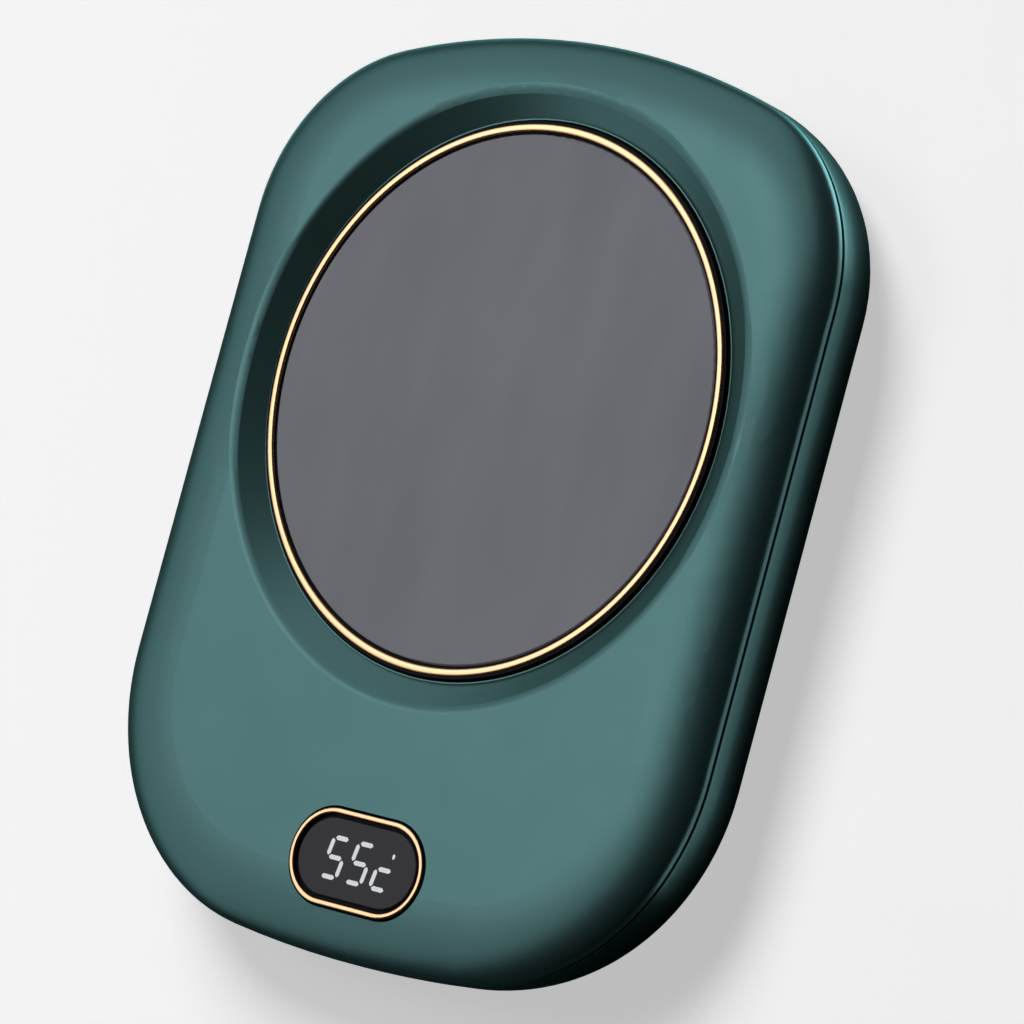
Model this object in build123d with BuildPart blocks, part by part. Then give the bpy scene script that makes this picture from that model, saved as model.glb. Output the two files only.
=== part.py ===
from build123d import *
from math import radians, tan
import os

# Electric mug warmer: a sprung, heated glass plate and a display key in a flat two-part casing.
# Millimetres. +Z up, +Y to the rear, origin on the table under the middle of the casing.

# Casing outline and shells
plate_to_side = 10.75
plate_to_rear = 10.45
plate_to_display = 27.65
display_to_front = 15.4
rear_corner_radius = 31.0
front_corner_radius = 39.5
rear_end_radius = 128.0
front_end_radius = 214.0
wall = 2.2
floor_thickness = 2.0
face_thickness = 2.0
base_side = 0.8
base_round_width = 5.8
base_round_height = 12.4
cover_side = 0.7
edge_round_width = 12.0
edge_round_drop = 4.0
edge_break = 0.25

# Joint between the shells
reveal_height = 0.35
reveal_depth = 0.5
lip_thickness = 1.0
lip_height = 1.6
lip_gap = 0.15

# Clearances
slide_gap = 0.4
seat_gap = 0.1
stop_gap = 0.05
pin_gap = 0.05
thread_gap = 0.02

# Feet, case screws and underside
foot_stand = 1.2
foot_radius = 5.0
foot_recess = 0.6
foot_to_side = 29.0
foot_to_end = 18.0
case_screw_radius = 1.1
case_screw_length = 10.0
case_head_radius = 2.2
case_head_height = 1.6
case_head_recess = 3.2
case_post_radius = 3.6
case_boss_radius = 3.2
case_joint_rise = 4.7
front_screw_to_side = 15.0
front_screw_to_end = 35.0
rear_screw_angle = 32.2
vent_width = 1.8
vent_length = 16.0
vent_pitch = 5.0
vent_rows = 6
vent_to_plate = 26.0
rating_width = 44.0
rating_length = 20.0
rating_thickness = 0.2
rating_recess = 0.3
rating_to_plate = 45.0

# Recess in the top cover
ring_recess = 1.6
bowl_depth = 2.55
bowl_wall = 1.5
bowl_land = 0.2
bowl_slope = 4.65
bowl_rim_round = 3.0

# Heated plate
plate_travel = 1.0
ring_mid_radius = 44.0
ring_width = 1.2
ring_height = 1.3
ring_round = 0.35
ring_stand = 0.35
glass_to_ring = 0.45
glass_thickness = 3.0
glass_edge = 0.3
carrier_rim = 0.45
carrier_top_drop = 0.3
carrier_rib_drop = 0.6
carrier_ledge = 2.7
carrier_wall = 1.9
flange_width = 3.2
flange_thickness = 1.5
seal_width = 1.4
seal_depth = 0.6
spreader_thickness = 1.2
foil_thickness = 0.4
foil_margin = 0.6
insulation_thickness = 1.9
clamp_thickness = 0.8
lug_radius = 2.4
clamp_hole_radius = 5.0
clamp_hole_circle = 27.0
small_screw_radius = 0.95
small_screw_length = 4.0
small_head_radius = 1.8
small_head_height = 1.0
sensor_spread = 6.5
sensor_to_plate = 22.0
sensor_size = (4.0, 2.6, 1.6)
fuse_size = (6.0, 3.6, 1.6)

# Plate springs and switch
spring_count = 4
spring_radius = 2.25
spring_wire = 0.5
spring_turns = 5.5
spring_seat_rise = 2.8
spring_post_radius = 3.2
spigot_height = 1.2
sensor_board_size = (26.0, 14.0, 1.0)
sensor_board_rise = 1.5
sensor_post_spread = 8.5
sensor_post_radius = 2.0
plate_switch_size = (6.0, 6.0, 2.9)
plate_plunger_radius = 1.4

# Display key
key_travel = 0.5
window_length = 24.1
window_width = 12.5
window_thickness = 1.5
window_edge = 0.25
key_rib = 0.6
key_rib_drop = 0.45
key_ring_width = 0.8
key_ring_height = 1.6
key_ring_stand = 0.4
key_ring_round = 0.25
key_flange = 1.25
key_flange_thickness = 1.2
key_ledge = 0.75
key_post_radius = 1.2
key_post_length = 2.1
key_ear_width = 6.0
segment_length = 2.65
segment_width = 0.75
segment_gap = 0.3
segment_depth = 0.6
segment_slant = 8.0
digit_height = 6.3
digit_width = 3.2
digit_pitch = 5.15
digit_shift = 0.65
dot_length = 0.95
dot_width = 0.5

# Digit module, gasket and key switches
module_length = 22.5
module_width = 10.0
module_height = 6.1
module_to_key = 0.2
gasket_gap = 0.3
gasket_wall = 0.8
key_switch_size = 4.5
key_switch_height = 3.4
key_plunger_radius = 1.0
plunger_depth = 1.25

# Control board and its components
board_thickness = 1.6
board_corner = 2.0
board_to_front = 7.0
wiring_gap = 6.4
board_post_radius = 2.4
board_screw_inset = 3.0
chip_size = (7.0, 7.0, 1.2)
driver_size = (4.0, 5.0, 1.5)
inductor_size = 7.0
inductor_height = 4.0
capacitor_radius = 2.5
capacitor_height = 6.0
buzzer_radius = 4.5
buzzer_height = 4.0
component_gap = 1.05
component_to_side = 7.0
header_depth = 5.0
header_height = 5.0
header_inset = 1.0
header_margin = 1.3

# Socket
socket_width = 8.94
socket_height = 3.26
socket_length = 7.35
socket_wall = 0.3
socket_rise = 7.4
socket_setback = 0.3
tongue_width = 6.7
tongue_thickness = 0.7
tongue_setback = 0.6
inlet_recess = 1.4
inlet_margin = 1.7
usb_board_size = (16.0, 11.5, 1.0)
usb_board_to_rear = 5.0
usb_post_spread = 6.0
usb_post_inset = 2.5

# Leads
heater_wire = 0.65
signal_wire = 0.5
power_wire = 0.7
lead_spacing = 1.8
power_offset = 15.75
switch_offset = -11.8
lead_rise = 3.1
drop_bend = 3.0
rise_bend = 4.0

# Levels, from the table up
underside = foot_stand
floor_top = underside + floor_thickness
base_round_top = underside + base_round_height
part_line = base_round_top + base_side
cover_round_foot = part_line + cover_side
face = cover_round_foot + edge_round_drop
face_underside = face - face_thickness
bowl_floor = face - bowl_depth
bowl_underside = bowl_floor - bowl_wall
ring_top = face - ring_recess
ring_seat = ring_top - ring_height
glass_top = ring_top - ring_stand
glass_seat = glass_top - glass_thickness
spreader_seat = glass_seat - spreader_thickness
foil_seat = spreader_seat - foil_thickness
clamp_top = foil_seat - insulation_thickness
clamp_bottom = clamp_top - clamp_thickness
flange_top = bowl_underside - stop_gap
flange_bottom = flange_top - flange_thickness
case_joint = floor_top + case_joint_rise
spring_seat = floor_top + spring_seat_rise
key_flange_top = face_underside - stop_gap
key_flange_bottom = key_flange_top - key_flange_thickness
key_ring_top = face + key_ring_stand
key_ring_seat = key_ring_top - key_ring_height
window_seat = face - window_thickness
module_top = key_flange_bottom - key_travel - module_to_key
board_top = module_top - module_height
board_bottom = board_top - board_thickness
sensor_board_bottom = floor_top + sensor_board_rise
sensor_board_top = sensor_board_bottom + sensor_board_size[2]
socket_level = underside + socket_rise
usb_board_top = socket_level - socket_height / 2
usb_board_bottom = usb_board_top - usb_board_size[2]
header_level = board_top + header_height / 2
lead_level = floor_top + lead_rise

# Radii and widths of what fits together
ring_inner_radius = ring_mid_radius - ring_width / 2
ring_outer_radius = ring_mid_radius + ring_width / 2
glass_radius = ring_inner_radius - glass_to_ring
glass_pocket_radius = glass_radius + seat_gap
carrier_radius = ring_outer_radius + carrier_rim
carrier_bore = glass_pocket_radius - carrier_ledge
carrier_foot_radius = carrier_bore + carrier_wall
flange_radius = carrier_radius + flange_width
plate_hole_radius = carrier_radius + slide_gap
bowl_rim_radius = plate_hole_radius + bowl_land + bowl_slope
seal_outer_radius = flange_radius - seal_depth
seal_inner_radius = seal_outer_radius - seal_width
lug_circle = carrier_foot_radius + lug_radius / 2
spring_circle = carrier_foot_radius + spring_radius + spring_wire / 2 + slide_gap
rear_screw_circle = flange_radius + 2 * slide_gap + case_boss_radius
spigot_radius = spring_radius - spring_wire / 2 - lip_gap
key_pocket_length = window_length + seat_gap
key_pocket_width = window_width + seat_gap
key_core_length = key_pocket_length + 2 * key_rib
key_core_width = key_pocket_width + 2 * key_rib
key_length = key_core_length + 2 * key_ring_width
key_width = key_core_width + 2 * key_ring_width
key_switch_x = module_length / 2 + gasket_gap + gasket_wall + key_switch_size / 2 + slide_gap
gasket_length = module_length + 2 * (gasket_gap + gasket_wall)
gasket_width = module_width + 2 * (gasket_gap + gasket_wall)
screw_hole_radius = small_screw_radius + seat_gap
component_x = key_switch_x + key_switch_size / 2 + component_gap + buzzer_radius
board_width = 2 * (component_x + component_to_side)
board_screw_x = board_width / 2 - board_screw_inset

# Places in plan
body_width = 2 * (flange_radius + plate_to_side)
body_length = display_to_front + plate_to_display + 2 * flange_radius + plate_to_rear
front_end = -body_length / 2
rear_end = body_length / 2
display_y = front_end + display_to_front
plate_y = rear_end - plate_to_rear - flange_radius
board_front = front_end + board_to_front
board_rear = plate_y - flange_radius - wiring_gap
header_face = board_rear - header_inset
sensor_y = plate_y - sensor_to_plate
front_screw = (body_width / 2 - front_screw_to_side, front_end + front_screw_to_end)
foot_x = body_width / 2 - foot_to_side
foot_y = rear_end - foot_to_end
feet_places = [(side * foot_x, end * foot_y) for side in (-1, 1) for end in (-1, 1)]
plate_axis = Axis((0, plate_y, 0), (0, 0, 1))
plate_section = Plane.XZ.offset(-plate_y)


def body_outline(inset=0.0):
    """The casing seen from above, moved inwards by inset."""
    with BuildSketch() as outline:
        Rectangle(body_width, 2 * body_length)
        with Locations((0, rear_end - rear_end_radius)):
            Circle(rear_end_radius, mode=Mode.INTERSECT)
        with Locations((0, front_end + front_end_radius)):
            Circle(front_end_radius, mode=Mode.INTERSECT)
        fillet(outline.vertices().group_by(Axis.Y)[-1], rear_corner_radius)
        fillet(outline.vertices().group_by(Axis.Y)[0], front_corner_radius)
        if inset > 0:
            offset(amount=-inset)
    return outline.sketch


def shell_form(low, high, inset, round_width, round_height, rounded_side, broken_edge=0.0):
    """The casing's outline between two levels, with an elliptical edge: rounded_side is 1 for the top edge and -1
    for the bottom one. broken_edge is the small radius along the opposite edge."""
    outline = body_outline(inset)
    rail_level = high - round_height if rounded_side > 0 else low + round_height
    with BuildSketch(Plane.XY.offset(rail_level)) as rail_face:
        add(outline)
    rail = rail_face.sketch.face().outer_wire()
    forward = rail % 0
    with BuildPart() as form:
        with BuildSketch(Plane.XY.offset(low)):
            add(outline)
        extrude(amount=high - low)
        if broken_edge > 0:
            fillet(form.edges().group_by(Axis.Z)[0 if rounded_side > 0 else -1], broken_edge)
        with BuildSketch(Plane(origin=rail @ 0, x_dir=Vector(0, 0, 1).cross(forward), z_dir=forward)):
            with Locations(((round_width - wall) / 2, rounded_side * (round_height + wall) / 2)):
                Rectangle(round_width + wall, round_height + wall)
            with Locations((round_width, 0)):
                Ellipse(round_width, round_height, mode=Mode.SUBTRACT)
        sweep(path=rail, mode=Mode.SUBTRACT)
    return form.part


def pan_screw(shank_radius, shank_length, head_radius, head_height):
    """A pan-head screw with its head on the XY plane and its shank down."""
    with BuildPart() as screw:
        Cylinder(shank_radius, shank_length, align=(Align.CENTER, Align.CENTER, Align.MAX))
        Cylinder(head_radius, head_height, align=(Align.CENTER, Align.CENTER, Align.MIN))
        fillet(screw.edges().group_by(Axis.Z)[-1], 0.4 * head_height)
        with BuildSketch(Plane.XY.offset(head_height)):
            Rectangle(1.2 * head_radius, 0.3 * head_radius)
            Rectangle(0.3 * head_radius, 1.2 * head_radius)
        extrude(amount=-0.5 * head_height, mode=Mode.SUBTRACT)
    return screw.part


def chip(size):
    """A moulded package on the XY plane with a softened top edge."""
    with BuildPart() as package:
        Box(*size, align=(Align.CENTER, Align.CENTER, Align.MIN))
        chamfer(package.edges().group_by(Axis.Z)[-1], 0.2)
    return package.part


def lead(points, bends, radius):
    """A round wire along straight runs joined by tangent arcs."""
    with BuildPart() as wire:
        with BuildLine() as route:
            FilletPolyline(*points, radius=bends)
        with BuildSketch(Plane(origin=route.line @ 0, z_dir=route.line % 0)):
            Circle(radius)
        sweep()
    return wire.part


def mounting_board(width, length, thickness, corner, screw_x, screw_rows):
    """A circuit board centred on the XY plane, with a pair of screw holes in each row."""
    with BuildPart() as board:
        with BuildSketch():
            RectangleRounded(width, length, corner)
            with Locations(*[(side * screw_x, row) for side in (-1, 1) for row in screw_rows]):
                Circle(screw_hole_radius, mode=Mode.SUBTRACT)
        extrude(amount=thickness)
    return board.part


def finish(builder, name):
    """Name the finished piece and write it."""
    builder.part.label = name
    export_step(builder.part, f"parts/{name}.step")


os.makedirs("parts", exist_ok=True)
small_screw = pan_screw(small_screw_radius, small_screw_length, small_head_radius, small_head_height)

# ---------------------------------------------------------------- places shared by the casing and its contents
rear_screw_span = 180 - 2 * rear_screw_angle
with Locations((0, plate_y, 0)):
    with PolarLocations(rear_screw_circle, 2, rear_screw_angle, rear_screw_span, endpoint=True) as rear_pair:
        rear_screw_places = [(p.position.X, p.position.Y) for p in rear_pair.locations]
    with PolarLocations(spring_circle, spring_count, 45) as spring_ring:
        spring_places = [(p.position.X, p.position.Y) for p in spring_ring.locations]
    with PolarLocations(lug_circle, 4) as lug_ring:
        lug_places = [(p.position.X, p.position.Y) for p in lug_ring.locations]
case_screw_places = rear_screw_places + [front_screw, (-front_screw[0], front_screw[1])]
board_length = board_rear - board_front
board_y = (board_rear + board_front) / 2
board_screw_rows = (-board_length / 2 + board_screw_inset, board_length / 2 - board_screw_inset)
board_screw_places = [(side * board_screw_x, board_y + row) for side in (-1, 1) for row in board_screw_rows]
sensor_screw_places = [(side * sensor_post_spread, plate_y) for side in (-1, 1)]
usb_board_y = rear_end - usb_board_to_rear - usb_board_size[1] / 2
usb_screw_row = -usb_board_size[1] / 2 + usb_post_inset
usb_screw_places = [(side * usb_post_spread, usb_board_y + usb_screw_row) for side in (-1, 1)]
inlet_floor = rear_end - inlet_recess
socket_mouth = inlet_floor - socket_setback

# ---------------------------------------------------------------- bottom cover
base_outside = shell_form(underside, part_line, 0, base_round_width, base_round_height, -1, edge_break)
base_inside = shell_form(
    floor_top,
    part_line + lip_height,
    wall,
    base_round_width - floor_thickness,
    base_round_height - floor_thickness,
    -1,
)
lip_outline = body_outline(wall - lip_thickness)

with BuildPart() as bottom_cover:
    add(base_outside)
    with BuildSketch(Plane.XY.offset(part_line)):
        add(lip_outline)
    extrude(amount=lip_height)
    add(base_inside, mode=Mode.SUBTRACT)
    with BuildSketch(Plane.XY.offset(floor_top)):
        with Locations(*case_screw_places):
            Circle(case_post_radius)
    extrude(amount=case_joint_rise)
    with BuildSketch(Plane.XY.offset(floor_top)):
        with Locations(*board_screw_places):
            Circle(board_post_radius)
    extrude(amount=board_bottom - floor_top)
    with BuildSketch(Plane.XY.offset(floor_top)):
        with Locations(*sensor_screw_places):
            Circle(sensor_post_radius)
    extrude(amount=sensor_board_rise)
    with BuildSketch(Plane.XY.offset(floor_top)):
        with Locations(*usb_screw_places):
            Circle(sensor_post_radius)
    extrude(amount=usb_board_bottom - floor_top)
    with BuildSketch(Plane.XY.offset(floor_top)):
        with Locations(*spring_places):
            Circle(spring_post_radius)
    extrude(amount=spring_seat_rise)
    with BuildSketch(Plane.XY.offset(spring_seat)):
        with Locations(*spring_places):
            Circle(spigot_radius)
    extrude(amount=spigot_height)
    # holes for the screws
    with BuildSketch(Plane.XY.offset(underside)):
        with Locations(*case_screw_places):
            Circle(case_screw_radius + seat_gap)
    extrude(amount=floor_thickness + case_joint_rise, mode=Mode.SUBTRACT)
    with BuildSketch(Plane.XY.offset(underside)):
        with Locations(*case_screw_places):
            Circle(case_head_radius + lip_gap)
    extrude(amount=case_head_recess, mode=Mode.SUBTRACT)
    for places, top in (
        (board_screw_places, board_bottom),
        (sensor_screw_places, sensor_board_bottom),
        (usb_screw_places, usb_board_bottom),
    ):
        with BuildSketch(Plane.XY.offset(top)):
            with Locations(*places):
                Circle(small_screw_radius + thread_gap)
        extrude(amount=-(top - floor_top), mode=Mode.SUBTRACT)
    # recesses in the underside, vents and the inlet
    with BuildSketch(Plane.XY.offset(underside)):
        with Locations(*feet_places):
            Circle(foot_radius + seat_gap)
        with Locations((0, plate_y - rating_to_plate)):
            RectangleRounded(rating_width + seat_gap, rating_length + seat_gap, foot_stand)
    extrude(amount=foot_recess / 2, mode=Mode.SUBTRACT)
    with BuildSketch(Plane.XY.offset(underside)):
        with Locations(*feet_places):
            Circle(foot_radius + seat_gap)
    extrude(amount=foot_recess, mode=Mode.SUBTRACT)
    with BuildSketch(Plane.XY.offset(underside)):
        with Locations((-vent_to_plate, plate_y), (vent_to_plate, plate_y)):
            with GridLocations(0, vent_pitch, 1, vent_rows):
                SlotOverall(vent_length, vent_width)
    extrude(amount=floor_thickness, mode=Mode.SUBTRACT)
    with BuildSketch(Plane.XZ.offset(-rear_end)):
        with Locations((0, socket_level)):
            SlotOverall(socket_width + 2 * inlet_margin, socket_height + 2 * inlet_margin)
    extrude(amount=inlet_recess, mode=Mode.SUBTRACT)
    with BuildSketch(Plane.XZ.offset(-inlet_floor)):
        with Locations((0, socket_level)):
            SlotOverall(socket_width + 2 * lip_gap, socket_height + 2 * lip_gap)
    extrude(amount=socket_length, mode=Mode.SUBTRACT)
finish(bottom_cover, "bottom_cover")

# ---------------------------------------------------------------- top cover
cover_outside = shell_form(part_line + reveal_height, face, 0, edge_round_width, edge_round_drop, 1, edge_break)
cover_inside = shell_form(
    part_line,
    face_underside,
    wall,
    edge_round_width - face_thickness,
    edge_round_drop - face_thickness,
    1,
)
land_outline = body_outline(reveal_depth)
rabbet_outline = body_outline(wall - lip_thickness - lip_gap)

with BuildPart() as top_cover:
    add(cover_outside)
    with BuildSketch(Plane.XY.offset(part_line)):
        add(land_outline)
    extrude(amount=reveal_height)
    add(cover_inside, mode=Mode.SUBTRACT)
    with BuildSketch(Plane.XY.offset(part_line)):
        add(rabbet_outline)
    extrude(amount=lip_height + lip_gap, mode=Mode.SUBTRACT)
    # thick rim round the plate hole, and the screw bosses
    with BuildSketch(plate_section):
        Polygon(
            (plate_hole_radius - slide_gap, bowl_underside),
            (flange_radius + slide_gap, bowl_underside),
            (bowl_rim_radius + bowl_wall, face_underside),
            (bowl_rim_radius + bowl_wall, face - face_thickness / 2),
            (plate_hole_radius - slide_gap, face - face_thickness / 2),
            align=None,
        )
    revolve(axis=plate_axis)
    with BuildSketch(Plane.XY.offset(case_joint)):
        with Locations(*case_screw_places):
            Circle(case_boss_radius)
    extrude(amount=face_underside - case_joint)
    # plate hole and its conical recess with a rounded rim
    with BuildSketch(plate_section):
        Polygon(
            (0, bowl_underside - wall),
            (plate_hole_radius, bowl_underside - wall),
            (plate_hole_radius, bowl_floor),
            (plate_hole_radius + bowl_land, bowl_floor),
            (bowl_rim_radius, face),
            (bowl_rim_radius + bowl_slope, face + bowl_depth),
            (0, face + bowl_depth),
            align=None,
        )
    revolve(axis=plate_axis, mode=Mode.SUBTRACT)
    bowl_rim = top_cover.edges().group_by(Axis.Z)[-1].filter_by(GeomType.CIRCLE)
    fillet(bowl_rim.filter_by(lambda edge: abs(edge.radius - bowl_rim_radius) < seat_gap), bowl_rim_round)
    # display opening and the room its key moves in
    with BuildSketch(Plane.XY.offset(face_underside)):
        with Locations((0, display_y)):
            SlotOverall(key_length + 2 * slide_gap, key_width + 2 * slide_gap)
    extrude(amount=face_thickness, mode=Mode.SUBTRACT)
    with BuildSketch(Plane.XY.offset(face_underside)):
        with Locations((0, display_y)):
            SlotOverall(key_length + 2 * (key_flange + slide_gap), key_width + 2 * (key_flange + slide_gap))
    extrude(amount=-2 * key_flange_thickness, mode=Mode.SUBTRACT)
    with BuildSketch(Plane.XY.offset(case_joint)):
        with Locations(*case_screw_places):
            Circle(case_screw_radius + thread_gap)
    extrude(amount=face_underside - case_joint, mode=Mode.SUBTRACT)
finish(top_cover, "top_cover")

# ---------------------------------------------------------------- feet, case screws, rating plate
with BuildPart() as feet:
    with BuildSketch():
        with Locations(*feet_places):
            Circle(foot_radius)
    extrude(amount=foot_stand + foot_recess)
    fillet(feet.edges().group_by(Axis.Z)[0], foot_recess)
finish(feet, "feet")

case_screw = pan_screw(case_screw_radius, case_screw_length, case_head_radius, case_head_height)
with BuildPart() as case_screws:
    with Locations(*[(x, y, underside + case_head_recess) for x, y in case_screw_places]):
        add(case_screw, rotation=(180, 0, 0))
finish(case_screws, "case_screws")

with BuildPart() as rating_plate:
    with BuildSketch(Plane.XY.offset(underside + rating_recess)):
        with Locations((0, plate_y - rating_to_plate)):
            RectangleRounded(rating_width, rating_length, foot_stand)
    extrude(amount=-rating_thickness)
finish(rating_plate, "rating_plate")

# ---------------------------------------------------------------- heated plate, from the glass down
with BuildPart() as glass_plate:
    with BuildSketch(Plane.XY.offset(glass_seat)):
        with Locations((0, plate_y)):
            Circle(glass_radius)
    extrude(amount=glass_thickness)
    fillet(glass_plate.edges().group_by(Axis.Z)[-1], glass_edge)
finish(glass_plate, "glass_plate")

with BuildPart() as plate_trim_ring:
    with BuildSketch(Plane.XY.offset(ring_seat)):
        with Locations((0, plate_y)):
            Circle(ring_outer_radius)
            Circle(ring_inner_radius, mode=Mode.SUBTRACT)
    extrude(amount=ring_height)
    fillet(plate_trim_ring.edges().group_by(Axis.Z)[-1], ring_round)
finish(plate_trim_ring, "plate_trim_ring")

with BuildPart() as plate_carrier:
    with BuildSketch(plate_section):
        Polygon(
            (carrier_bore, glass_seat),
            (glass_pocket_radius, glass_seat),
            (glass_pocket_radius, ring_top - carrier_rib_drop),
            (ring_inner_radius, ring_top - carrier_rib_drop),
            (ring_inner_radius, ring_seat),
            (ring_outer_radius, ring_seat),
            (ring_outer_radius, ring_top - carrier_top_drop),
            (carrier_radius, ring_top - carrier_top_drop),
            (carrier_radius, flange_top),
            (seal_inner_radius, flange_top),
            (seal_inner_radius, flange_top - seal_depth),
            (seal_outer_radius, flange_top - seal_depth),
            (seal_outer_radius, flange_top),
            (flange_radius, flange_top),
            (flange_radius, flange_bottom),
            (carrier_foot_radius, flange_bottom),
            (carrier_foot_radius, clamp_top),
            (carrier_bore, clamp_top),
            align=None,
        )
    revolve(axis=plate_axis)
    with BuildSketch(Plane.XY.offset(clamp_top)):
        with Locations(*lug_places):
            Circle(lug_radius)
        with Locations((0, plate_y)):
            Circle(carrier_bore, mode=Mode.SUBTRACT)
    extrude(amount=flange_bottom - clamp_top)
    with BuildSketch(Plane.XY.offset(flange_bottom)):
        with Locations(*spring_places):
            Circle(spigot_radius)
    extrude(amount=-spigot_height)
    with BuildSketch(Plane.XY.offset(clamp_top)):
        with Locations(*lug_places):
            Circle(small_screw_radius + thread_gap)
    extrude(amount=small_screw_length - clamp_thickness, mode=Mode.SUBTRACT)
finish(plate_carrier, "plate_carrier")

with BuildPart() as spill_seal:
    with BuildSketch(Plane.XY.offset(flange_top - seal_depth)):
        with Locations((0, plate_y)):
            Circle(seal_outer_radius)
            Circle(seal_inner_radius, mode=Mode.SUBTRACT)
    extrude(amount=seal_depth + stop_gap)
finish(spill_seal, "spill_seal")

with BuildPart() as heat_spreader:
    with BuildSketch(Plane.XY.offset(spreader_seat)):
        with Locations((0, plate_y)):
            Circle(carrier_bore - seat_gap)
    extrude(amount=spreader_thickness)
finish(heat_spreader, "heat_spreader")

with BuildPart() as heater_foil:
    with BuildSketch(Plane.XY.offset(foil_seat)):
        with Locations((0, plate_y)):
            Circle(carrier_bore - foil_margin)
    extrude(amount=foil_thickness)
finish(heater_foil, "heater_foil")

with BuildPart() as insulation_pad:
    with BuildSketch(Plane.XY.offset(clamp_top)):
        with Locations((0, plate_y)):
            Circle(carrier_bore - seat_gap)
        with Locations((sensor_spread, sensor_y)):
            Rectangle(sensor_size[0] + 2 * seat_gap, sensor_size[1] + 2 * seat_gap, mode=Mode.SUBTRACT)
        with Locations((-sensor_spread, sensor_y)):
            Rectangle(fuse_size[0] + 2 * seat_gap, fuse_size[1] + 2 * seat_gap, mode=Mode.SUBTRACT)
    extrude(amount=insulation_thickness)
finish(insulation_pad, "insulation_pad")

with BuildPart() as heater_clamp_plate:
    with BuildSketch(Plane.XY.offset(clamp_bottom)):
        with Locations((0, plate_y)):
            Circle(carrier_foot_radius)
        with Locations(*lug_places):
            Circle(lug_radius)
            Circle(screw_hole_radius, mode=Mode.SUBTRACT)
        with Locations((0, plate_y)):
            with PolarLocations(clamp_hole_circle, 6):
                Circle(clamp_hole_radius, mode=Mode.SUBTRACT)
        with Locations((-sensor_spread, sensor_y), (sensor_spread, sensor_y)):
            SlotOverall(2 * sensor_size[1], sensor_size[1], mode=Mode.SUBTRACT)
    extrude(amount=clamp_thickness)
finish(heater_clamp_plate, "heater_clamp_plate")

with BuildPart() as clamp_screws:
    with Locations(*[(x, y, clamp_bottom) for x, y in lug_places]):
        add(small_screw, rotation=(180, 0, 0))
finish(clamp_screws, "clamp_screws")

with BuildPart() as temperature_sensor:
    with Locations((sensor_spread, sensor_y, foil_seat)):
        Box(*sensor_size, align=(Align.CENTER, Align.CENTER, Align.MAX))
    fillet(temperature_sensor.edges().filter_by(Axis.Z), sensor_size[1] / 3)
finish(temperature_sensor, "temperature_sensor")

with BuildPart() as thermal_fuse:
    with Locations((-sensor_spread, sensor_y, foil_seat)):
        Box(*fuse_size, align=(Align.CENTER, Align.CENTER, Align.MAX))
    fillet(thermal_fuse.edges().filter_by(Axis.Z), fuse_size[1] / 6)
finish(thermal_fuse, "thermal_fuse")

# ---------------------------------------------------------------- plate springs and the switch below the plate
coil_height = flange_bottom - spring_seat - spring_wire
with BuildPart() as plate_springs:
    for x, y in spring_places:
        foot = (x, y, spring_seat + spring_wire / 2)
        with BuildLine() as coil:
            Helix(coil_height / spring_turns, coil_height, spring_radius, foot)
        with BuildSketch(Plane(origin=coil.line @ 0, z_dir=coil.line % 0)):
            Circle(spring_wire / 2)
        sweep(path=coil.line, is_frenet=True)
finish(plate_springs, "plate_springs")

with BuildPart() as sensor_board:
    with Locations((0, plate_y, sensor_board_bottom)):
        add(mounting_board(*sensor_board_size, board_corner / 2, sensor_post_spread, [0]))
finish(sensor_board, "sensor_board")

with BuildPart() as sensor_board_screws:
    with Locations(*[(x, y, sensor_board_top) for x, y in sensor_screw_places]):
        add(pan_screw(small_screw_radius, sensor_board_rise, small_head_radius, small_head_height))
finish(sensor_board_screws, "sensor_board_screws")

plate_switch_top = sensor_board_top + plate_switch_size[2]
with BuildPart() as plate_switch:
    with Locations((0, plate_y, sensor_board_top)):
        Box(*plate_switch_size, align=(Align.CENTER, Align.CENTER, Align.MIN))
    with Locations((0, plate_y, plate_switch_top)):
        Hole(plate_plunger_radius + pin_gap, plate_travel + plunger_depth)
finish(plate_switch, "plate_switch")

with BuildPart() as plate_switch_plunger:
    with BuildSketch(Plane.XY.offset(plate_switch_top - plunger_depth + pin_gap)):
        with Locations((0, plate_y)):
            Circle(plate_plunger_radius)
    extrude(amount=clamp_bottom - plate_switch_top + plunger_depth - pin_gap)
finish(plate_switch_plunger, "plate_switch_plunger")

# ---------------------------------------------------------------- display key
with BuildPart() as key_frame:
    with BuildSketch(Plane.XY.offset(key_flange_bottom)):
        with Locations((0, display_y)):
            SlotOverall(key_length + 2 * key_flange, key_width + 2 * key_flange)
            Rectangle(2 * (key_switch_x + key_post_radius), key_ear_width)
    extrude(amount=key_flange_thickness)
    with BuildSketch(Plane.XY.offset(key_flange_top)):
        with Locations((0, display_y)):
            SlotOverall(key_length, key_width)
    extrude(amount=key_ring_seat - key_flange_top)
    with BuildSketch(Plane.XY.offset(key_ring_seat)):
        with Locations((0, display_y)):
            SlotOverall(key_core_length, key_core_width)
    extrude(amount=face - key_rib_drop - key_ring_seat)
    with BuildSketch(Plane.XY.offset(window_seat)):
        with Locations((0, display_y)):
            SlotOverall(key_pocket_length, key_pocket_width)
    extrude(amount=window_thickness, mode=Mode.SUBTRACT)
    with BuildSketch(Plane.XY.offset(key_flange_bottom)):
        with Locations((0, display_y)):
            SlotOverall(window_length - 2 * key_ledge, window_width - 2 * key_ledge)
    extrude(amount=window_seat - key_flange_bottom, mode=Mode.SUBTRACT)
    with BuildSketch(Plane.XY.offset(key_flange_bottom)):
        with Locations((-key_switch_x, display_y), (key_switch_x, display_y)):
            Circle(key_post_radius)
    extrude(amount=-key_post_length)
finish(key_frame, "key_frame")

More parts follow.
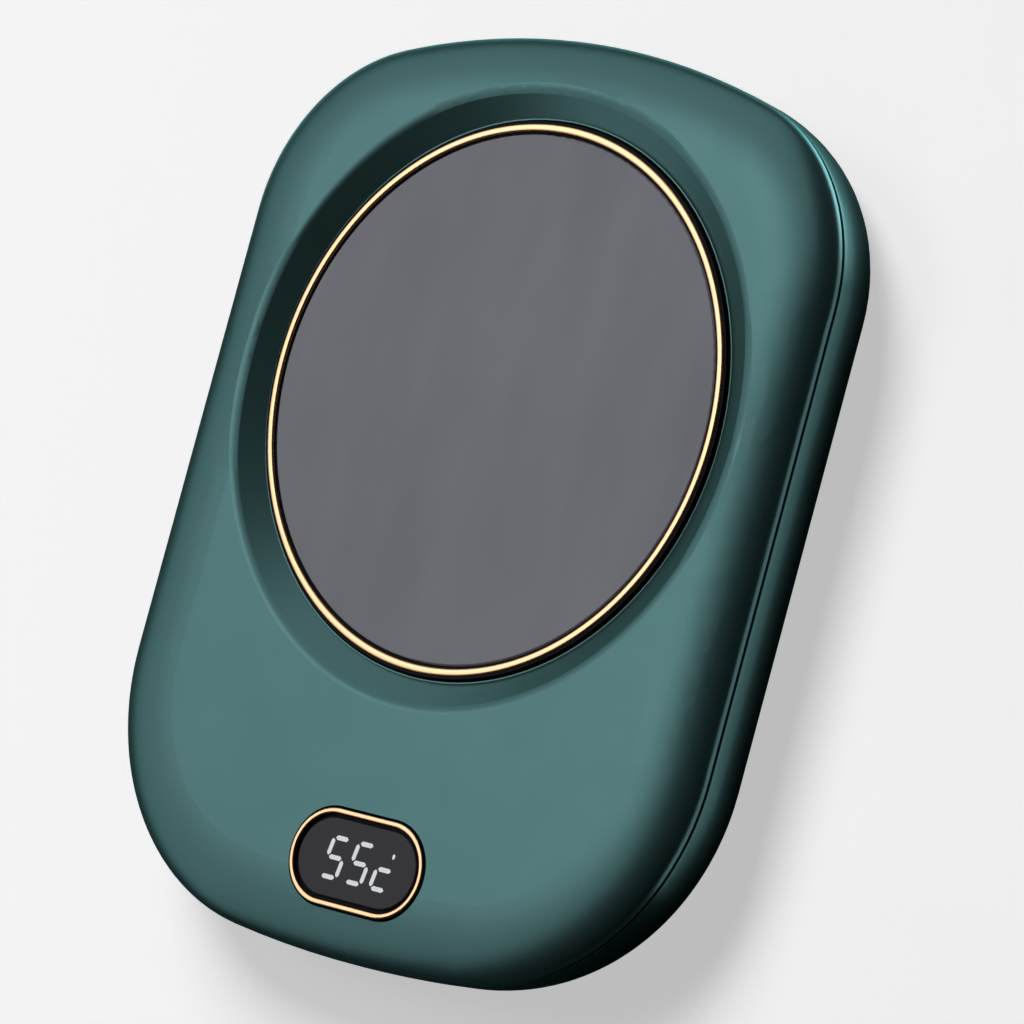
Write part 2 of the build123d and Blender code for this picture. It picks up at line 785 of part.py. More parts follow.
with BuildPart() as key_trim_ring:
    with BuildSketch(Plane.XY.offset(key_ring_seat)):
        with Locations((0, display_y)):
            SlotOverall(key_length, key_width)
            SlotOverall(key_core_length, key_core_width, mode=Mode.SUBTRACT)
    extrude(amount=key_ring_height)
    fillet(key_trim_ring.edges().group_by(Axis.Z)[-1], key_ring_round)
finish(key_trim_ring, "key_trim_ring")

# Bars of a digit, by their place in it: across the top, middle and bottom, and down each side
bar_x = digit_width / 2
bar_y = digit_height / 4
flat_bars = {"top": (0, 2 * bar_y), "middle": (0, 0), "bottom": (0, -2 * bar_y)}
side_bars = {
    "upper_left": (-bar_x, bar_y),
    "upper_right": (bar_x, bar_y),
    "lower_left": (-bar_x, -bar_y),
    "lower_right": (bar_x, -bar_y),
}
five = ("top", "upper_left", "middle", "lower_right", "bottom")
low_c = ("middle", "lower_left", "bottom")
slope = tan(radians(segment_slant))


def bar_outline(length, width):
    """A bar along X with pointed ends."""
    half, tip = length / 2, width / 2
    with BuildSketch() as bar:
        Polygon(
            (-half, 0),
            (tip - half, tip),
            (half - tip, tip),
            (half, 0),
            (half - tip, -tip),
            (tip - half, -tip),
        )
        fillet(bar.vertices(), width / 6)
    return bar.sketch


def read_out():
    """The lit bars: two fives, a small c and a degree dot, leaning to the right."""
    flat = bar_outline(segment_length, segment_width)
    upright = bar_outline(digit_height / 2 - segment_gap, segment_width)
    with BuildSketch() as bars:
        for column, lit in ((-1, five), (0, five), (1, low_c)):
            shift = column * digit_pitch + digit_shift
            for name in lit:
                x, y = flat_bars.get(name) or side_bars[name]
                with Locations((shift + x + slope * y, y)):
                    if name in flat_bars:
                        add(flat)
                    else:
                        add(upright, rotation=90 - segment_slant)
        with Locations((digit_pitch + digit_shift + bar_x - dot_width, 1.5 * bar_y)):
            add(bar_outline(dot_length, dot_width), rotation=90 - segment_slant)
    return bars.sketch


lit_bars = read_out()

with BuildPart() as display_lens:
    with BuildSketch(Plane.XY.offset(window_seat)):
        with Locations((0, display_y)):
            SlotOverall(window_length, window_width)
    extrude(amount=window_thickness)
    fillet(display_lens.edges().group_by(Axis.Z)[-1], window_edge)
    with BuildSketch(Plane.XY.offset(face)):
        with Locations((0, display_y)):
            add(lit_bars)
    extrude(amount=-segment_depth, mode=Mode.SUBTRACT)
finish(display_lens, "display_lens")

with BuildPart() as digit_windows:
    with BuildSketch(Plane.XY.offset(face)):
        with Locations((0, display_y)):
            add(lit_bars)
    extrude(amount=-segment_depth)
finish(digit_windows, "digit_windows")

# ---------------------------------------------------------------- digit module, gasket and switches under the key
with BuildPart() as digit_module:
    with Locations((0, display_y, board_top)):
        Box(module_length, module_width, module_height, align=(Align.CENTER, Align.CENTER, Align.MIN))
    chamfer(digit_module.edges().group_by(Axis.Z)[-1], gasket_gap)
finish(digit_module, "digit_module")

with BuildPart() as key_gasket:
    with BuildSketch(Plane.XY.offset(board_top)):
        with Locations((0, display_y)):
            RectangleRounded(gasket_length, gasket_width, gasket_wall)
            Rectangle(gasket_length - 2 * gasket_wall, gasket_width - 2 * gasket_wall, mode=Mode.SUBTRACT)
    extrude(amount=key_flange_bottom - board_top)
finish(key_gasket, "key_gasket")

key_switch_top = board_top + key_switch_height
key_switch_places = [(-key_switch_x, display_y), (key_switch_x, display_y)]
with BuildPart() as key_switches:
    with Locations(*[(x, y, board_top) for x, y in key_switch_places]):
        Box(key_switch_size, key_switch_size, key_switch_height, align=(Align.CENTER, Align.CENTER, Align.MIN))
    with Locations(*[(x, y, key_switch_top) for x, y in key_switch_places]):
        Hole(key_plunger_radius + pin_gap, key_travel + plunger_depth)
finish(key_switches, "key_switches")

with BuildPart() as key_switch_plungers:
    with BuildSketch(Plane.XY.offset(key_switch_top - plunger_depth + pin_gap)):
        with Locations(*key_switch_places):
            Circle(key_plunger_radius)
    extrude(amount=key_flange_bottom - key_post_length - key_switch_top + plunger_depth - pin_gap)
finish(key_switch_plungers, "key_switch_plungers")

# ---------------------------------------------------------------- control board
with BuildPart() as control_board:
    with Locations((0, board_y, board_bottom)):
        add(
            mounting_board(
                board_width, board_length, board_thickness, board_corner, board_screw_x, board_screw_rows
            )
        )
finish(control_board, "control_board")

with BuildPart() as control_board_screws:
    with Locations(*[(x, y, board_top) for x, y in board_screw_places]):
        add(small_screw)
finish(control_board_screws, "control_board_screws")

chip_row = header_face - header_depth - chip_size[1] / 2 - seat_gap
with BuildPart() as board_chips:
    with Locations((-component_x, chip_row, board_top)):
        add(chip(chip_size))
    with Locations((-driver_size[0], chip_row, board_top), (driver_size[0], chip_row, board_top)):
        add(chip(driver_size))
finish(board_chips, "board_chips")

with BuildPart() as board_capacitors:
    with BuildSketch(Plane.XY.offset(board_top)):
        with Locations((-component_x, display_y)):
            Circle(capacitor_radius)
        with Locations((-component_x + 2.2 * capacitor_radius, display_y - 2 * capacitor_radius)):
            Circle(capacitor_radius)
    extrude(amount=capacitor_height)
    fillet(board_capacitors.edges().group_by(Axis.Z)[-1], edge_break)
finish(board_capacitors, "board_capacitors")

with BuildPart() as power_inductor:
    with Locations((component_x, chip_row, board_top)):
        Box(inductor_size, inductor_size, inductor_height, align=(Align.CENTER, Align.CENTER, Align.MIN))
    fillet(power_inductor.edges().filter_by(Axis.Z), inductor_size / 5)
    chamfer(power_inductor.edges().group_by(Axis.Z)[-1], gasket_gap)
finish(power_inductor, "power_inductor")

with BuildPart() as buzzer:
    with Locations((component_x, display_y, board_top)):
        Cylinder(buzzer_radius, buzzer_height, align=(Align.CENTER, Align.CENTER, Align.MIN))
    with Locations((component_x, display_y, board_top + buzzer_height)):
        Hole(buzzer_radius / 6, buzzer_height / 2)
finish(buzzer, "buzzer")

# each connector takes one pair of wires: centre of the pair, wire spacing and wire radius
heater_pair = (-sensor_spread, lead_spacing, heater_wire)
sensor_pair = (sensor_spread, lead_spacing, signal_wire)
switch_pair = (switch_offset, lead_spacing, signal_wire)
power_pair = (power_offset, lead_spacing, power_wire)
with BuildPart() as wire_headers:
    for centre, spacing, radius in (heater_pair, sensor_pair, switch_pair, power_pair):
        with Locations((centre, header_face - header_depth / 2, board_top)):
            Box(
                spacing + 2 * radius + header_margin,
                header_depth,
                header_height,
                align=(Align.CENTER, Align.CENTER, Align.MIN),
            )
finish(wire_headers, "wire_headers")

# ---------------------------------------------------------------- socket and its board
with BuildPart() as usb_board:
    with Locations((0, usb_board_y, usb_board_bottom)):
        add(mounting_board(*usb_board_size, board_corner / 2, usb_post_spread, [usb_screw_row]))
finish(usb_board, "usb_board")

with BuildPart() as usb_board_screws:
    with Locations(*[(x, y, usb_board_top) for x, y in usb_screw_places]):
        add(pan_screw(small_screw_radius, usb_board_bottom - floor_top, small_head_radius, small_head_height))
finish(usb_board_screws, "usb_board_screws")

with BuildPart() as usb_socket_shell:
    with BuildSketch(Plane.XZ.offset(-socket_mouth)):
        with Locations((0, socket_level)):
            SlotOverall(socket_width, socket_height)
    extrude(amount=socket_length)
    with BuildSketch(Plane.XZ.offset(-socket_mouth)):
        with Locations((0, socket_level)):
            SlotOverall(socket_width - 2 * socket_wall, socket_height - 2 * socket_wall)
    extrude(amount=socket_length - socket_wall, mode=Mode.SUBTRACT)
finish(usb_socket_shell, "usb_socket_shell")

tongue_root = socket_mouth - socket_length + socket_wall
with BuildPart() as usb_socket_tongue:
    with Locations((0, tongue_root, socket_level)):
        Box(
            tongue_width,
            socket_mouth - tongue_setback - tongue_root,
            tongue_thickness,
            align=(Align.CENTER, Align.MIN, Align.CENTER),
        )
    fillet(usb_socket_tongue.edges().filter_by(Axis.Z).group_by(Axis.Y)[-1], tongue_thickness)
finish(usb_socket_tongue, "usb_socket_tongue")

# ---------------------------------------------------------------- leads, pairs of wires that end in a connector
rise_foot = plate_y - flange_radius + lug_radius
rise_head = header_face + 0.6 * wiring_gap


def pair_of_leads(pair, first_points, first_bends, low):
    """Two wires from first_points along level low, up past the plate's edge and into the connector."""
    centre, spacing, radius = pair
    with BuildPart() as leads:
        for side in (-0.5, 0.5):
            x = centre + side * spacing
            ends = [(x, rise_foot, low), (x, rise_head, header_level), (x, header_face, header_level)]
            starts = [(x + across, y, z) for across, y, z in first_points]
            add(lead(starts + ends, first_bends + [rise_bend, rise_bend], radius))
    return leads


heater_leads = pair_of_leads(
    heater_pair, [(0, sensor_y, foil_seat - fuse_size[2]), (0, sensor_y, lead_level)], [drop_bend], lead_level
)
finish(heater_leads, "heater_leads")

sensor_leads = pair_of_leads(
    sensor_pair, [(0, sensor_y, foil_seat - sensor_size[2]), (0, sensor_y, lead_level)], [drop_bend], lead_level
)
finish(sensor_leads, "sensor_leads")

switch_level = (sensor_board_bottom + sensor_board_top) / 2
sensor_board_edge = plate_y - sensor_board_size[1] / 2
switch_leads = pair_of_leads(switch_pair, [(0, sensor_board_edge, switch_level)], [], switch_level)
finish(switch_leads, "switch_leads")

usb_front = usb_board_y - usb_board_size[1] / 2
power_start = usb_post_spread - power_offset - lead_spacing
power_level = (usb_board_bottom + usb_board_top) / 2
power_turn = usb_front - 2 * drop_bend - 2 * abs(power_start)
power_leads = pair_of_leads(
    power_pair,
    [
        (power_start, usb_front, power_level),
        (power_start, usb_front - 2 * drop_bend, power_level),
        (0, power_turn, power_level),
    ],
    [drop_bend, drop_bend],
    power_level,
)
finish(power_leads, "power_leads")
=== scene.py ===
from math import cos, pi, radians, sin

import bmesh
import bpy
from mathutils import Matrix, Vector


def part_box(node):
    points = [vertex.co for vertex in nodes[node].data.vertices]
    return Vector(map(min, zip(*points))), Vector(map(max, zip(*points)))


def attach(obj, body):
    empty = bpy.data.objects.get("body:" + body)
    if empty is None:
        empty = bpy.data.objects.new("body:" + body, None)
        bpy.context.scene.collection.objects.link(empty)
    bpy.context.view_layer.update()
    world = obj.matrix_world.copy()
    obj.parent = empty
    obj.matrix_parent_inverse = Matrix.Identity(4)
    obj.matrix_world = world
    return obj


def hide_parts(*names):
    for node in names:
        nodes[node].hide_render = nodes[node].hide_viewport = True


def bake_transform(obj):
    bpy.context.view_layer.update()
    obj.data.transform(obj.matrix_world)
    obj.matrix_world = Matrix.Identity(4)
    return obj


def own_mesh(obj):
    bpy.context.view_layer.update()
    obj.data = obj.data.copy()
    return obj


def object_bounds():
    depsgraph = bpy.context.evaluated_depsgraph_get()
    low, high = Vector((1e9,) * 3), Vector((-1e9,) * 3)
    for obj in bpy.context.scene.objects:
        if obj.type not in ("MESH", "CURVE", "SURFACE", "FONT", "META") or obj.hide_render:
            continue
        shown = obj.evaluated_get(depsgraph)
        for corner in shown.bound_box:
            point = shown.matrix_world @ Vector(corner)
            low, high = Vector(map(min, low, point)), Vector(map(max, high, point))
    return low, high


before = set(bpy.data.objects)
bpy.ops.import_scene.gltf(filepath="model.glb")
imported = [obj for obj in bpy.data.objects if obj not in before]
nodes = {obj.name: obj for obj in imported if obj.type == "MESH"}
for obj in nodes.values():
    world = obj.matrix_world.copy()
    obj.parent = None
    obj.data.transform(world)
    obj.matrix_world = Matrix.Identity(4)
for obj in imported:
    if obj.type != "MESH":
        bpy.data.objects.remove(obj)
cad_box = [list(corner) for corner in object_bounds()]
bpy.ops.object.select_all(action="DESELECT")

# The camera looks down on the warmer from its right-hand side with a long lens, and is turned so that the
# read-out stands nearly upright.
scene = bpy.context.scene
look_at = Vector((0.0105, -0.0006, 0.0175))
azimuth, elevation, roll = radians(83.641), radians(50.808), radians(-69.992)
camera_distance = 1.0018
back = Vector((sin(azimuth) * cos(elevation), -cos(azimuth) * cos(elevation), sin(elevation)))
level = Vector((0, 0, 1)).cross(back).normalized()
upright = back.cross(level)
right = cos(roll) * level + sin(roll) * upright
up = cos(roll) * upright - sin(roll) * level
bpy.ops.object.camera_add(location=look_at + camera_distance * back)
camera = bpy.context.object
camera.rotation_euler = Matrix((right, up, back)).transposed().to_euler()
camera.data.lens = 225.93
camera.data.sensor_width = 36.0
camera.data.clip_start = 0.05
camera.data.clip_end = 50.0
scene.camera = camera
scene.view_settings.view_transform = "Standard"

# The table top: a wide round pale board, satin, with a faint grain. Where the camera, a mirror or a glass looks
# at it, it shows evenly light under the warmer's soft shadow, and it throws less light back up than it shows.
table_radius = 2.4
bpy.ops.mesh.primitive_circle_add(vertices=128, radius=table_radius, fill_type="NGON", location=(0, 0, 0))
floor = bpy.context.object
floor.name = "floor"


class Reading:
    """A value that changes over a surface. Sums in Python on it add Math nodes."""

    def __init__(self, wiring, socket):
        self.wiring, self.socket = wiring, socket

    def reckon(self, operation, first, second):
        """The result of one Math node."""
        return self.wiring.node("ShaderNodeMath", {"operation": operation}, {0: first, 1: second})

    def __add__(self, other):
        return self.reckon("ADD", self, other)

    def __radd__(self, other):
        return self.reckon("ADD", other, self)

    def __mul__(self, other):
        return self.reckon("MULTIPLY", self, other)

    def __rmul__(self, other):
        return self.reckon("MULTIPLY", other, self)


class Wiring:
    """The nodes of one material or world."""

    def __init__(self, tree):
        self.tree = tree

    def node(self, kind, settings=None, sockets=None, output=0):
        """Add a node, with its settings first and then its sockets' values or links."""
        added = self.tree.nodes.new(kind)
        for setting, value in (settings or {}).items():
            setattr(added, setting, value)
        for socket, value in (sockets or {}).items():
            self.feed(added.inputs[socket], value)
        return Reading(self, added.outputs[output])

    def feed(self, socket, value):
        """Link or set one socket."""
        if isinstance(value, Reading):
            self.tree.links.new(value.socket, socket)
        else:
            socket.default_value = value


class Finish(Wiring):
    """One material. The values given with its name are set on the shader itself."""

    def __init__(self, name, **constants):
        self.material = bpy.data.materials.new(name)
        self.material.use_nodes = True
        super().__init__(self.material.node_tree)
        self.shader = self.tree.nodes["Principled BSDF"]
        for socket, value in constants.items():
            self.shader.inputs[socket.replace("_", " ")].default_value = value
        self.place = self.node("ShaderNodeTexCoord", output="Object")

    def noise(self, size, detail=2.0, roughness=0.5, stretch=(1, 1, 1)):
        """Cloudy noise whose blobs are about size metres across."""
        place = self.node(
            "ShaderNodeMapping", {"vector_type": "POINT"}, {"Vector": self.place, "Scale": stretch}
        )
        return self.node(
            "ShaderNodeTexNoise",
            {},
            {"Vector": place, "Scale": 1.0 / size, "Detail": detail, "Roughness": roughness},
        )

    def between(self, reading, low, high, start=0.0, end=1.0):
        """The reading's span from low to high, spread over start to end and held there."""
        return self.node(
            "ShaderNodeMapRange",
            {"clamp": True},
            {"Value": reading, "From Min": low, "From Max": high, "To Min": start, "To Max": end},
        )

    def mix(self, share, first, second):
        """One colour turning into another as share goes from 0 to 1."""
        return self.node("ShaderNodeMix", {"data_type": "RGBA"}, {0: share, 6: first, 7: second}, output=2)

    def cover(self, **channels):
        """Feed the shader's own sockets."""
        for socket, value in channels.items():
            self.feed(self.shader.inputs[socket.replace("_", " ")], value)

    def relief(self, height, depth):
        """A bump of depth metres where height goes from 0 to 1."""
        bump = self.node(
            "ShaderNodeBump", {}, {"Height": height, "Distance": depth, "Strength": 1.0}, output="Normal"
        )
        self.feed(self.shader.inputs["Normal"], bump)


table_top = Finish("table_top", Roughness=0.85, Specular_IOR_Level=0.1)
grain = table_top.noise(0.004, detail=3)
table_top.cover(Base_Color=table_top.mix(grain, (0.79, 0.79, 0.79, 1), (0.81, 0.81, 0.81, 1)))
seen = table_top.node("ShaderNodeLightPath", output="Is Camera Ray")
for way in ("Is Glossy Ray", "Is Transmission Ray"):
    also = table_top.node("ShaderNodeLightPath", output=way)
    seen = table_top.node("ShaderNodeMath", {"operation": "MAXIMUM"}, {0: seen, 1: also})
board = Reading(table_top, table_top.shader.outputs[0])
evenly_light = table_top.node("ShaderNodeEmission", {}, {"Color": (1, 1, 1, 1), "Strength": 0.51})
lit_board = table_top.node("ShaderNodeAddShader", {}, {0: board, 1: evenly_light})
shown = table_top.node("ShaderNodeMixShader", {}, {0: seen, 1: board, 2: lit_board})
table_top.feed(table_top.tree.nodes["Material Output"].inputs["Surface"], shown)
floor.data.materials.append(table_top.material)


# Studio light: a dark tent stands over the table, open along its left-hand side and round to the rear, up to
# near its top. A soft key and the pale surround shine in, so what turns away from the open side goes dark.
def pick_faces(wanted):
    """Select those faces of the piece being edited for which wanted(face) is true."""
    bpy.ops.mesh.select_mode(type="FACE")
    being_edited = bmesh.from_edit_mesh(bpy.context.object.data)
    for face in being_edited.faces:
        face.select_set(bool(wanted(face)))
    being_edited.select_flush_mode()
    bmesh.update_edit_mesh(bpy.context.object.data)


open_side = Vector((-0.934, 0.358))
open_spread = radians(65)
open_foot = radians(12)
open_top = radians(78)
tent_radius = 3.0


def in_opening(face):
    """Whether a face of the tent lies in its open side."""
    way = face.calc_center_median().normalized()
    return sin(open_foot) < way.z < sin(open_top) and way.xy.angle(open_side) < open_spread


bpy.ops.mesh.primitive_uv_sphere_add(segments=96, ring_count=90, radius=tent_radius)
tent = bpy.context.object
tent.name = "tent"
bpy.ops.object.mode_set(mode="EDIT")
pick_faces(in_opening)
bpy.ops.mesh.delete(type="FACE")
bpy.ops.object.mode_set(mode="OBJECT")
tent.visible_camera = False
tent_cloth = Finish("tent_cloth", Base_Color=(0.08, 0.08, 0.08, 1), Roughness=1.0, Specular_IOR_Level=0.0)
tent.data.materials.append(tent_cloth.material)

key_way = Vector((-0.535, 0.163, 0.829))
key_spread = radians(24)
bpy.ops.object.light_add(type="SUN", rotation=key_way.to_track_quat("Z", "Y").to_euler())
key_light = bpy.context.object
key_light.data.energy = 0.285
key_light.data.angle = key_spread

# A second soft light over the rear end lays the warmer's shadow on the table in front of it. Gloss doesn't
# show it.
rear_way = Vector((-0.21, 0.69, 0.68))
rear_spread = radians(34)
bpy.ops.object.light_add(type="SUN", rotation=rear_way.to_track_quat("Z", "Y").to_euler())
rear_light = bpy.context.object
rear_light.data.energy = 2.1
rear_light.data.angle = rear_spread
rear_light.visible_glossy = False

# The pale surround shines a little more than the camera sees, so that what the camera sees of it stays close
# to the tone of the table top.
world = bpy.data.worlds.new("surround")
scene.world = world
world.use_nodes = True
surround = Wiring(world.node_tree)
looked_at = surround.node("ShaderNodeLightPath", output="Is Camera Ray")
shining = surround.node("ShaderNodeBackground", {}, {"Color": (1, 1, 1, 1), "Strength": 1.165})
backdrop = surround.node("ShaderNodeBackground", {}, {"Color": (1, 1, 1, 1), "Strength": 0.885})
either = surround.node("ShaderNodeMixShader", {}, {0: looked_at, 1: shining, 2: backdrop})
surround.feed(world.node_tree.nodes["World Output"].inputs["Surface"], either)

# A dark card lies on the table under and round the warmer, out of the camera's sight, so that little light
# comes up from the table at the warmer's sides.
card_radius = 2.5
card_height = 0.0002
bpy.ops.mesh.primitive_circle_add(
    vertices=64, radius=card_radius, fill_type="NGON", location=(0, 0, card_height)
)
card = bpy.context.object
card.name = "dark_card"
card.visible_camera = False
card.visible_shadow = False
card.data.materials.append(tent_cloth.material)

# A low glowing strip lies along the right-hand side and round the rear corner, where it glows most. It puts
# the bright line and the soft fade on the side below the parting.
strip_gap = 0.0065
strip_width = 0.07
strip_height = 0.0006
casing_corner = 0.031
strip_corner = casing_corner + strip_gap + strip_width
bpy.ops.mesh.primitive_plane_add(size=2.0, location=(0, 0, strip_height))
strip_light = bpy.context.object
strip_light.name = "strip_light"
strip_light.scale = (cad_box[1][0] + strip_gap + strip_width, cad_box[1][1] + strip_gap + strip_width, 1)
bpy.ops.object.transform_apply(location=True, rotation=True, scale=True)
bpy.ops.object.mode_set(mode="EDIT")
bpy.ops.mesh.select_all(action="SELECT")
bpy.ops.mesh.bevel(offset=strip_corner, segments=16, affect="VERTICES")
bpy.ops.mesh.select_all(action="SELECT")
bpy.ops.mesh.inset(thickness=strip_width, depth=0)
bpy.ops.mesh.delete(type="FACE")
bpy.ops.mesh.select_all(action="SELECT")
strip_cut = (0, -0.02, 0)
cut_faces = (0.55, 0.83, 0)
bpy.ops.mesh.bisect(plane_co=strip_cut, plane_no=cut_faces, clear_inner=True)
bpy.ops.object.mode_set(mode="OBJECT")
strip_light.visible_camera = False
strip_light.visible_shadow = False
strip_light.visible_diffuse = False
glow = Finish("glow", Base_Color=(0, 0, 0, 1), Emission_Strength=8.0)
brightest_spot = (0.058, 0.079, 0.0)
brightest_within = 0.012
dimmest_beyond = 0.032
from_spot = glow.node(
    "ShaderNodeVectorMath", {"operation": "DISTANCE"}, {0: glow.place, 1: brightest_spot}, output="Value"
)
at_corner = glow.between(from_spot, brightest_within, dimmest_beyond, 1.0, 0.0)
glow.cover(Emission_Color=glow.mix(at_corner, (0.16, 0.16, 0.16, 1), (1, 1, 1, 1)))
strip_light.data.materials.append(glow.material)


# Casing: two ABS mouldings, the deeper one below, sprayed in a satin teal lacquer with a fine metallic
# pigment in it. They meet at a narrow reveal that runs round the side.
def moulded(
    name, colour, tint, roughness, grain_depth=0.000004, grain_size=0.00012, patchy=0.08, **constants
):
    """Moulded plastic with the fine texture of its tool and faint cloudiness."""
    finish = Finish(name, **constants)
    cloud = finish.noise(0.03, detail=3)
    speckle = finish.noise(grain_size, detail=2)
    patches = finish.noise(0.008, detail=4)
    finish.cover(
        Base_Color=finish.mix(finish.between(cloud + 0.15 * speckle, 0.35, 0.8), colour, tint),
        Roughness=finish.between(patches + 0.3 * speckle, 0.4, 0.9, roughness, roughness + patchy),
    )
    finish.relief(speckle, grain_depth)
    return finish


def dress(finish, *names):
    """Give CAD nodes their finish."""
    for name in names:
        nodes[name].material_slots[0].material = finish.material


teal_lacquer = moulded(
    "teal_lacquer",
    (0.050, 0.110, 0.112, 1),
    (0.053, 0.114, 0.116, 1),
    0.31,
    patchy=0.03,
    Specular_IOR_Level=0.4,
    Specular_Tint=(0.25, 0.55, 0.55, 1),
    Metallic=0.8,
)
dress(teal_lacquer, "bottom_cover", "top_cover")

# Feet: four round pads of pressed silicone, pushed into recesses in the underside. They keep the warmer from
# sliding and let air reach the vents.
black_rubber = moulded(
    "black_rubber",
    (0.02, 0.02, 0.021, 1),
    (0.03, 0.03, 0.03, 1),
    0.7,
    0.00001,
    0.0003,
    Specular_IOR_Level=0.3,
)
dress(black_rubber, "feet")


# Case screws: self-tappers, zinc plated and blackened, driven up from below. The screws of the clamp plate and
# of the boards are smaller ones of the same finish.
def plated(name, colour, tint, roughness, scratch=(1, 1, 1)):
    """Metal with a fine drawn grain and patches that are a little duller."""
    finish = Finish(name, Metallic=1.0)
    grain = finish.noise(0.00035, detail=3, stretch=scratch)
    patch = finish.noise(0.004, detail=3)
    finish.cover(
        Base_Color=finish.mix(finish.between(patch, 0.35, 0.7), colour, tint),
        Roughness=finish.between(grain + patch, 0.7, 1.3, roughness, roughness + 0.14),
    )
    finish.relief(grain, 0.000004)
    return finish


black_zinc = plated("black_zinc", (0.22, 0.22, 0.23, 1), (0.3, 0.3, 0.31, 1), 0.32)
dress(
    black_zinc, "case_screws", "clamp_screws", "sensor_board_screws", "control_board_screws", "usb_board_screws"
)

# Rating plate: a bare piece of satin aluminium film, brushed along its length and stuck into a shallow recess
# in the underside.
satin_film = plated("satin_film", (0.55, 0.55, 0.56, 1), (0.62, 0.62, 0.63, 1), 0.38, scratch=(0.06, 1, 1))
dress(satin_film, "rating_plate")

# Glass heating plate: tempered glass, printed dark grey from behind, with a soft etched top that holds a
# few faint wipe marks.
printed_glass = Finish("printed_glass", Specular_IOR_Level=0.4)
wipe = printed_glass.noise(0.012, detail=5, roughness=0.6, stretch=(1, 0.25, 1))
haze = printed_glass.noise(0.035, detail=3)
fleck = printed_glass.noise(0.00025, detail=1)
printed_glass.cover(
    Base_Color=printed_glass.mix(
        printed_glass.between(haze + 0.1 * fleck, 0.4, 0.75),
        (0.093, 0.096, 0.115, 1),
        (0.101, 0.104, 0.124, 1),
    ),
    Roughness=printed_glass.between(wipe, 0.35, 0.7, 0.34, 0.44),
)
printed_glass.relief(fleck, 0.0000015)
dress(printed_glass, "glass_plate")

# Trim rings: turned brass, gold plated, with the fine round lines that the lathe leaves. The plate's ring is
# a square bar with its two upper edges rounded over, and sits on the carrier round the glass.
gold = Finish("gold", Metallic=1.0)
turned = gold.noise(0.0003, detail=3, stretch=(1, 1, 3))
tarnish = gold.noise(0.01, detail=3)
gold.cover(
    Base_Color=gold.mix(gold.between(tarnish, 0.35, 0.7), (0.70, 0.42, 0.235, 1), (0.76, 0.47, 0.275, 1)),
    Roughness=gold.between(turned + tarnish, 0.7, 1.3, 0.24, 0.34),
)
gold.relief(turned, 0.0000008)
dress(gold, "key_trim_ring")
plate_centre_y = sum(corner[1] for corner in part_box("glass_plate")) / 2
ring_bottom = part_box("plate_trim_ring")[0][2]
ring_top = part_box("plate_trim_ring")[1][2]
ring_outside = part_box("plate_trim_ring")[1][0]
ring_width = 0.0012
ring_round = 0.00035
ring_middle = (ring_bottom + ring_top) / 2
bpy.ops.mesh.primitive_plane_add(
    size=1.0, location=(ring_outside - ring_width / 2, 0, ring_middle), rotation=(pi / 2, 0, 0)
)
turned_ring = bpy.context.object
turned_ring.name = "turned_ring"
turned_ring.scale = (ring_width, ring_top - ring_bottom, 1)
bpy.ops.object.transform_apply(location=True, rotation=True, scale=True)
bpy.ops.object.mode_set(mode="EDIT")
bpy.ops.mesh.select_mode(type="VERT")
bpy.ops.mesh.select_all(action="DESELECT")
section = bmesh.from_edit_mesh(turned_ring.data)
for corner in section.verts:
    corner.select_set(corner.co.z > ring_middle)
bmesh.update_edit_mesh(turned_ring.data)
bpy.ops.mesh.bevel(offset=ring_round, segments=8, affect="VERTICES")
bpy.ops.mesh.select_all(action="SELECT")
bpy.ops.mesh.delete(type="ONLY_FACE")
bpy.ops.object.mode_set(mode="OBJECT")
lathe = turned_ring.modifiers.new("lathe", "SCREW")
lathe.axis = "Z"
lathe.angle = 2 * pi
lathe.steps = lathe.render_steps = 360
bpy.ops.object.modifier_apply(modifier="lathe")
bpy.ops.object.mode_set(mode="EDIT")
bpy.ops.mesh.select_all(action="SELECT")
bpy.ops.mesh.remove_doubles(threshold=0.000001)
bpy.ops.mesh.normals_make_consistent(inside=False)
bpy.ops.transform.translate(value=(0, plate_centre_y, 0))
bpy.ops.object.mode_set(mode="OBJECT")
bpy.ops.object.shade_smooth_by_angle(angle=radians(40))
turned_ring.data.materials.append(gold.material)
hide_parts("plate_trim_ring")
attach(turned_ring, "plate")

# Plate carrier and key frame: moulded in glass-filled nylon, black and matt, which takes the heat of the
# plate. The carrier holds all of the heated stack, and the frame the window and its ring.
black_nylon = moulded(
    "black_nylon",
    (0.003, 0.003, 0.0033, 1),
    (0.005, 0.005, 0.0053, 1),
    0.5,
    0.000006,
    0.0002,
    Specular_IOR_Level=0.05,
)
dress(black_nylon, "plate_carrier", "key_frame")

# Spill seal: a flat ring of black silicone, laid in the groove of the carrier's flange. It closes the gap
# under the top cover, so that a spill stays outside.
dress(black_rubber, "spill_seal")

# Heat spreader: a turned aluminium disc, bonded under the glass. It evens out the heat of the foil below it,
# and its face keeps the fine marks of the tool.
milled_aluminium = plated(
    "milled_aluminium", (0.72, 0.72, 0.73, 1), (0.8, 0.8, 0.81, 1), 0.3, scratch=(0.1, 1, 1)
)
dress(milled_aluminium, "heat_spreader")

